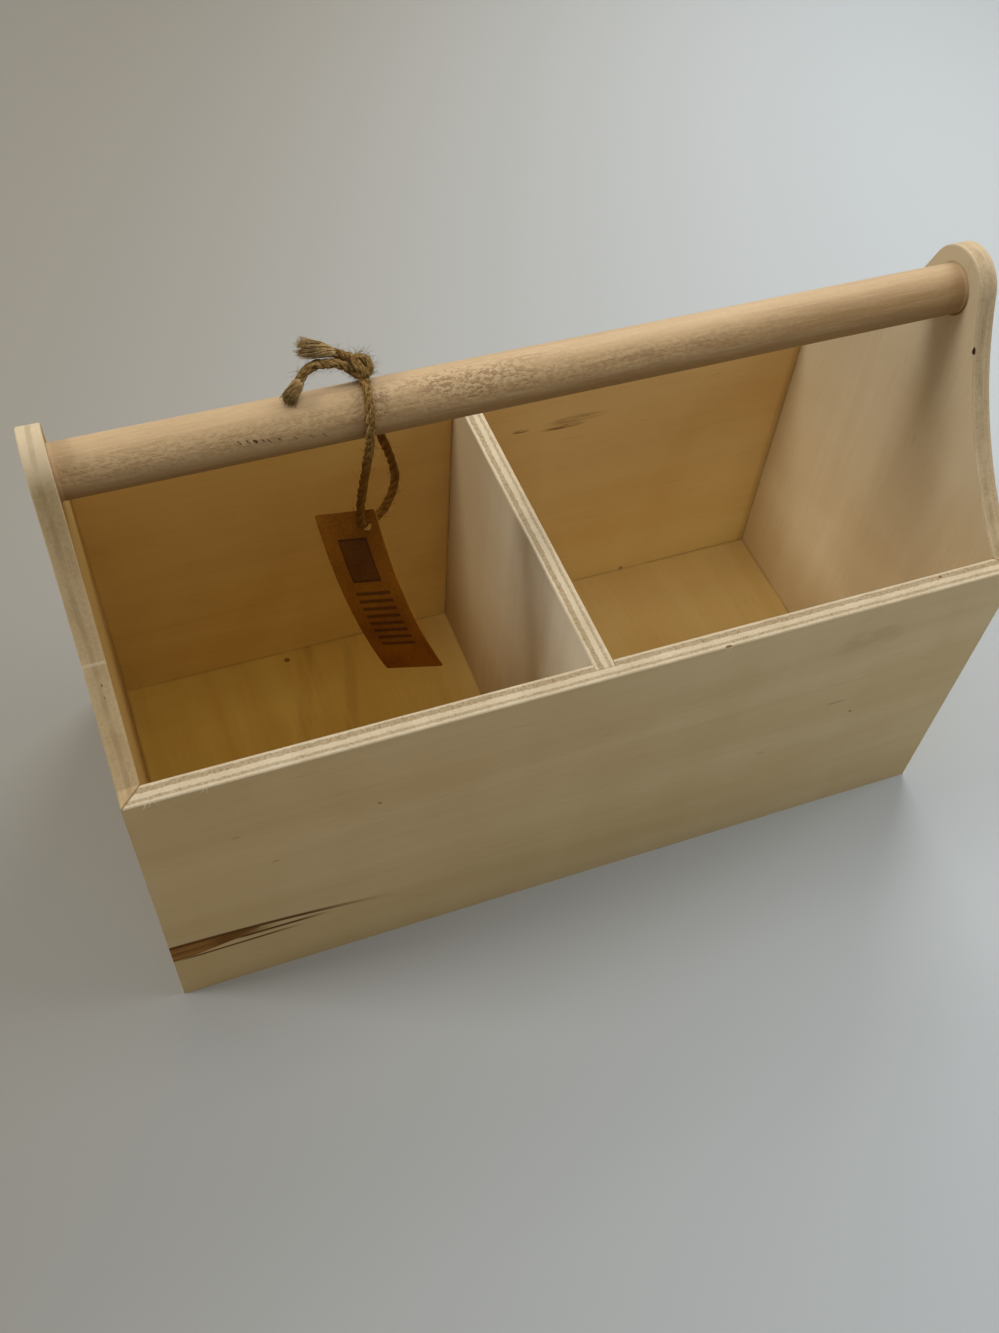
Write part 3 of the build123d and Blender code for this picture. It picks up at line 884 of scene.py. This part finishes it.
def back_marks(wood, place, axes, outwards):
    """Dark smears high on the inside of the back, a speck low down, the joints round it, and painted shade in
    its inside corner at the right end.
    """
    x, y, z = axes
    inside = 1 - outwards
    smears = wood.spots(x, z, BACK_SMEARS)
    streaky = wood.rise(wood.noise(place, (90, 40, 700), 3.0), 0.25, 0.65)
    joints = [(z, BOTTOM_PLY), (abs(x), PLY / 2), (abs(x), INNER_LENGTH)]
    faces = [
        (smears * streaky * inside * 0.85, STREAK_DARK),
        # Painted shade in the back's inside corner at the right end
        (wood.line(x, INNER_LENGTH, 3.0 * MM) * inside * 0.2, MARK_AND_SHADE_BROWN),
        (wood.spots(x, z, BACK_SPECK) * inside, MARK_AND_SHADE_BROWN),
        seams(wood, place, inside, joints),
    ]
    return faces, [mitre(wood, x, y)]


def end_marks(wood, place, axes, outwards):
    """Joints inside, the dark ring round the dowel's socket, darkened below and in front as painted shadow,
    and a few pinholes and a void in the cut edges, darkened as painted shade in the holes.

    The right end alone has the void, which shows on its face and on its edge. The left end alone has a
    painted highlight on its crown and a painted highlight across its edge where the edge turns.
    """
    x, y, z = axes
    inside = 1 - outwards
    above_dowel = z - DOWEL_HEIGHT
    from_dowel = (y**2 + above_dowel**2) ** 0.5
    # The ring is a real gap, darker on its lower front side as painted shadow
    gap_and_shadow = 0.15 + wood.rise(y + above_dowel, 0.0, -0.012) * 0.6
    ring = wood.line(from_dowel, DOWEL_RADIUS + 0.3 * MM, 0.5 * MM) * gap_and_shadow
    # The void is painted dark, as painted shade in the hole
    void_shade = wood.spots(y, z, END_VOID) * wood.rise(x, -0.1, 0.1)
    faces = [
        (ring * inside, MARK_AND_SHADE_BROWN),
        (void_shade * inside, DARK_MARK_AND_SHADE_BROWN),
        seams(wood, place, inside, [(z, BOTTOM_PLY), (y, INNER_DEPTH)]),
    ]
    # The pinholes and the void in the edges are painted dark, as painted shade in the holes
    hole_shade = wood.spots(x, y, END_EDGE_HOLES)
    hole_shade = hole_shade | wood.spots(x, z, END_EDGE_VOID) * wood.rise(y, 0.0, -0.01)
    wave = (wood.noise(place, (28, 28, 28), 2.0) - 0.5) * 0.0036
    middle_ply = wood.line(abs(x) + wave, HALF_LENGTH - 0.49 * PLY, 0.9 * MM)
    rough = wood.rise(wood.noise(place, (110, 110, 110), 3.0), 0.3, 0.6)
    # Painted highlight on the left end's crown
    crown_highlight = wood.rise(z, *END_CROWN_HIGHLIGHT) * wood.rise(x, 0.1, -0.1)
    return faces, [
        (crown_highlight * 0.6, EDGE_PALE),
        (middle_ply * (0.08 + rough * 0.24), EDGE_SPECK),
        (hole_shade, DARK_MARK_AND_SHADE_BROWN),
        # Painted highlight across the left end's edge where the edge turns
        (wood.line(y, END_EDGE_HIGHLIGHT, 0.35 * MM) * wood.rise(x, 0.0, -0.1) * 0.5, EDGE_PALE),
        mitre(wood, x, y),
    ]


def divider_marks(wood, place, axes, outwards):
    """The divider's joints with the bottom and the back."""
    _, y, z = axes
    return [seams(wood, place, 1.0, [(z, BOTTOM_PLY), (y, INNER_DEPTH)])], []


def bottom_marks(wood, place, axes, outwards):
    """Two darker bands that lean along the bottom's grain, a small knot, and the joints round both halves."""
    x, y, _ = axes
    inside = 1 - outwards
    leaning = x - y * BOTTOM_LEAN
    wide = reduce(or_, [wood.line(leaning, at, half) for at, half in BOTTOM_BANDS])
    wide = wide * wood.rise(wood.noise(place, (120, 8, 8), 2.0), 0.3, 0.6)
    knot = wood.spots(x, y, BOTTOM_KNOT)
    joints = [(abs(x), PLY / 2), (abs(x), INNER_LENGTH), (abs(y), INNER_DEPTH)]
    return [
        (wide * inside * 0.2, MARK_AND_SHADE_BROWN),
        (knot * inside, MARK_AND_SHADE_BROWN),
        seams(wood, place, inside, joints),
    ], []


def dress(node, finish):
    """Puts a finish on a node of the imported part."""
    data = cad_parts[node].data
    data.materials.clear()
    data.materials.append(finish.material)


def dress_boards():
    """Gives each plywood board its own finish."""
    long_way = dict(grain=0, through=1, thickness=PLY)
    end_way = dict(grain=2, through=0, thickness=PLY)
    front = Board(outer=-HALF_DEPTH, **long_way)
    back = Board(outer=HALF_DEPTH, **long_way)
    left = Board(outer=-HALF_LENGTH, **end_way)
    right = Board(outer=HALF_LENGTH, **end_way)
    divider = Board(outer=PLY / 2, **end_way)
    bottom = Board(grain=1, through=2, outer=0.0, thickness=BOTTOM_PLY)
    woods = {
        "front_panel": plywood(
            "front_plywood", front, FRONT_INSIDE, OUTSIDE, front_marks, outer_painted_light=FRONT_PAINTED_LIGHT
        ),
        "back_panel": plywood(
            "back_plywood", back, BACK_LEFT, OUTSIDE, back_marks,
            inner_right=BACK_RIGHT, inner_painted_light=BACK_PAINTED_LIGHT,
        ),
        "left_end_panel": plywood(
            "left_end_plywood", left, LEFT_INSIDE, OUTSIDE, end_marks, LEFT_EDGE, LEFT_CORE_DEPTH
        ),
        "right_end_panel": plywood(
            "right_end_plywood", right, RIGHT_INSIDE, OUTSIDE, end_marks, RIGHT_EDGE, RIGHT_CORE_DEPTH,
            inner_painted_light=RIGHT_PAINTED_LIGHT,
        ),
        "divider_panel": plywood(
            "divider_plywood", divider, DIVIDER, DIVIDER, divider_marks,
            inner_painted_light=DIVIDER_PAINTED_LIGHT, outer_painted_light=DIVIDER_PAINTED_LIGHT,
        ),
        "bottom_panel": plywood(
            "bottom_plywood", bottom, BOTTOM_LEFT, OUTSIDE, bottom_marks, inner_right=BOTTOM_RIGHT
        ),
    }
    for node, wood in woods.items():
        dress(node, wood)


def dowel_finish():
    """Bare turned dowel: pinkish tan, with long grain, torn grain left of the middle, and a row of nicks. Its
    top is lighter as a painted highlight, its underside darker as painted shade, and its eased ends lighter
    as a painted highlight.
    """
    wood = Finish("dowel_wood", roughness=0.62, gloss=0.22)
    place = wood.place()
    x, y, z = wood.parts(place)
    bands = wood.noise(place, (4.0, 75.0, 75.0), 3.0, 0.55, 0.5)
    fibre = wood.noise(place, (50.0, 1100.0, 1100.0), 3.0, 0.6)
    up = z - DOWEL_HEIGHT
    to_light = up + y * 0.4
    shade = wood.line(to_light, 0.002, 4.0 * MM) * wood.rise(x, 0.12, 0.04)
    middle = wood.line(y * DOWEL_ACROSS[0] + up * DOWEL_ACROSS[1], -0.0005, 5.0 * MM)
    patch = wood.rise(x, *TORN_FROM) * wood.rise(x, *TORN_TO) * middle
    patch = patch * wood.rise(wood.noise(place, (40.0, 90.0, 90.0), 2.0), 0.28, 0.52)
    torn = wood.noise(place, (500.0, 780.0, 780.0), 2.0, 0.65)
    rough = 0.1 + (shade * 0.3 | patch * 0.9)
    tufts = wood.rise(torn, 0.45, 0.62) * rough
    colour = wood.mix(wood.rise(bands * 0.7 + fibre * 0.4, 0.36, 0.74), DOWEL_PALE, DOWEL_DEEP)
    # Painted highlight on the side towards the light, and painted shade on the side away from it
    colour = wood.mix(wood.rise(to_light, 0.002, 0.010) * 0.4, colour, DOWEL_HIGHLIGHT_AND_TUFTS)
    colour = wood.mix(wood.rise(to_light, 0.001, -0.009) * 0.65, colour, DOWEL_PAINTED_SHADE)
    colour = wood.mix(tufts * 0.5, colour, DOWEL_TORN)
    colour = wood.mix(wood.rise(torn, 0.46, 0.34) * rough * 0.6, colour, DOWEL_HIGHLIGHT_AND_TUFTS)
    off_row = up + x * NICK_ROW_SLOPE + NICK_ROW_DROP
    slant = x + off_row * NICK_LEAN
    row = [((at, 0.0), reach, strength) for places, reach, strength in DOWEL_NICKS for at in places]
    nicks = wood.spots(slant, off_row, row)
    ragged = wood.rise(wood.noise(place, (900.0, 900.0, 900.0), 2.0), 0.34, 0.52)
    nicks = nicks * ragged * wood.rise(y, 0.0, -0.004)
    colour = wood.mix(nicks * 0.95, colour, DARK_MARK_AND_SHADE_BROWN)
    # Painted highlight on the rounded ends at the sockets
    eased_end_highlight = wood.rise(abs(x), INNER_LENGTH - 1.6 * MM, INNER_LENGTH - 1.0 * MM)
    colour = wood.mix(eased_end_highlight * 0.5, colour, DOWEL_HIGHLIGHT_AND_TUFTS)
    height = fibre * 0.15 + tufts - nicks
    wood.paint(colour=colour, roughness=0.55 + tufts * 0.25, normal=wood.bump(height, 0.28 * MM, 0.8))
    return wood


def brad_finish():
    """Bright steel of the brads, drawn fine along and a little dull."""
    steel = Finish("brad_steel", metal=1.0)
    scratch = steel.noise(steel.place(), (900.0, 900.0, 120.0), 2.0)
    steel.paint(colour=steel.mix(scratch, STEEL_BRIGHT, STEEL_DULL), roughness=0.3 + scratch * 0.2)
    return steel


def kraft_finish():
    """Uncoated kraft card, with a plain box and plain writing lines printed on its front."""
    card = Finish("kraft_card", roughness=0.7, gloss=0.15)
    place = card.place()
    from_hole = card.node("VectorMath", {"operation": "SUBTRACT"}, {0: place, 1: TAG_HOLE})
    across = card.dot(from_hole, TAG_ACROSS) / MM
    down = card.dot(from_hole, TAG_ALONG) * (-1 / MM)
    front = card.rise(card.dot(card.node("TexCoord", out="Normal"), TAG_THROUGH), 0.0, -0.5)
    fibre = card.noise(place, (900, 900, 900), 3.0, 0.65)
    cloud = card.noise(place, (60, 60, 60), 2.0)
    colour = card.mix(card.rise(cloud * 0.6 + fibre * 0.5, 0.3, 0.8), KRAFT_PALE, KRAFT_DEEP)
    box_across = abs(across - PRINT_BOX_MIDDLE[0]) / PRINT_BOX_HALF[0]
    box_down = abs(down - PRINT_BOX_MIDDLE[1]) / PRINT_BOX_HALF[1]
    box_edge = box_across | box_down
    box = card.line(box_edge, 1.0, 0.06) | card.rise(box_edge, 1.02, 0.98) * 0.72
    rows = down / PRINT_LINE_PITCH
    lines = card.line(rows - card.node("Math", {"operation": "ROUND"}, {0: rows}), 0.0, 0.22)
    lines = lines * card.rise(down, PRINT_LINES_FROM - PRINT_SOFT, PRINT_LINES_FROM + PRINT_SOFT)
    lines = lines * card.rise(down, PRINT_LINES_TO + PRINT_SOFT, PRINT_LINES_TO - PRINT_SOFT)
    from_middle = abs(across - PRINT_LINE_MIDDLE)
    lines = lines * card.rise(from_middle, PRINT_LINE_HALF + PRINT_SOFT, PRINT_LINE_HALF - PRINT_SOFT)
    colour = card.mix((box | lines * 0.8) * front * 0.85, colour, KRAFT_INK)
    card.paint(colour=colour, roughness=0.62 + fibre * 0.15, normal=card.bump(fibre, 0.03 * MM, 0.6))
    return card


def splinters():
    """A few pale fibres that hang from the outer arris of the front's top edge."""
    rng = np.random.default_rng(SPLINTER_SEED)
    pale = Finish("splinter_wood", roughness=0.7, gloss=0.2)
    pale.paint(colour=pale.mix(pale.noise(pale.place(), (400, 400, 400)), SPLINTER_PALE, EDGE_PALE))
    count = len(SPLINTERS_AT)
    arris = np.full(count, -HALF_DEPTH - 0.05 * MM)
    roots = np.stack([SPLINTERS_AT, arris, np.full(count, SPLINTER_HEIGHT)], -1)
    sideways = rng.uniform(-0.9, 0.9, count)
    heading = unit(np.stack([sideways, np.full(count, -0.35), np.full(count, -1.0)], -1))
    length = rng.uniform(*SPLINTER_LENGTH, count)
    paths = curved_paths(roots, heading, length, rng.normal(0, SPLINTER_CURL, (count, 3)))
    made = fibres("edge_splinters", pale, paths, np.full(count, SPLINTER_THICKNESS))
    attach(made, "carcass")


def pale_floor():
    """Grey to the lamps. Seen, it goes softly from a warmer, darker painted shade to a cooler, paler painted
    light, and far out it fades into the surround.
    """
    finish = Finish("pale_floor", roughness=0.9, gloss=0.1)
    along, back, _ = finish.parts(finish.place())
    seen = finish.seen()
    light_sweep = finish.rise(along * FLOOR_LIGHT_WAY[0] + back * FLOOR_LIGHT_WAY[1], *FLOOR_LIGHT_SWEEP)
    finish.paint(colour=finish.mix(seen, FLOOR_GREY, finish.mix(light_sweep, FLOOR_SHADED, FLOOR_LIT)))
    far = finish.rise((along**2 + back**2) ** 0.5, *FLOOR_FADE)
    glow = finish.node("Emission", {}, {"Color": SURROUND_PALE})
    shader = Tone(finish, finish.shader.outputs[0])
    faded = finish.node("MixShader", {}, {0: far & seen, 1: shader, 2: glow})
    finish.feed(finish.tree.nodes["Material Output"].inputs["Surface"], faded)
    return finish


def lamp(name, at, size, level):
    """Square lamp aimed at the caddy. At level 1 a surface that faces it shows its colour as written."""
    data = bpy.data.lights.new(name, "AREA")
    data.size = size
    away = Vector(at) - Vector(LAMP_AIM)
    data.energy = level * pi**2 * away.length_squared
    made = bpy.data.objects.new(name, data)
    made.matrix_world = Matrix.Translation(at) @ away.to_track_quat("Z", "Y").to_matrix().to_4x4()
    bpy.context.collection.objects.link(made)


def stage():
    """Plain pale floor, four soft lamps above it, and an even surround, which is dim to the caddy."""
    reach = FLOOR_REACH
    corners = [(-reach, -reach, 0), (reach, -reach, 0), (reach, reach, 0), (-reach, reach, 0)]
    floor = piece("floor", corners, [(0, 1, 2, 3)], pale_floor(), smooth=False)
    for name, (at, size, level) in LAMPS.items():
        lamp(name, at, size, level)
    world = bpy.data.worlds.new("surround")
    world.use_nodes = True
    air = Nodes(world.node_tree)
    air.feed(air.tree.nodes["Background"].inputs["Color"], air.mix(air.seen(), SURROUND_DIM, SURROUND_PALE))
    bpy.context.scene.world = world
    bpy.context.scene.view_settings.view_transform = "Standard"


photo_camera()
hang_twine()
dress_boards()
dress("handle_dowel", dowel_finish())
dress("hang_tag", kraft_finish())
steel = brad_finish()
for brads in ("bottom_brads", "divider_brads", "handle_brads"):
    dress(brads, steel)
splinters()
stage()
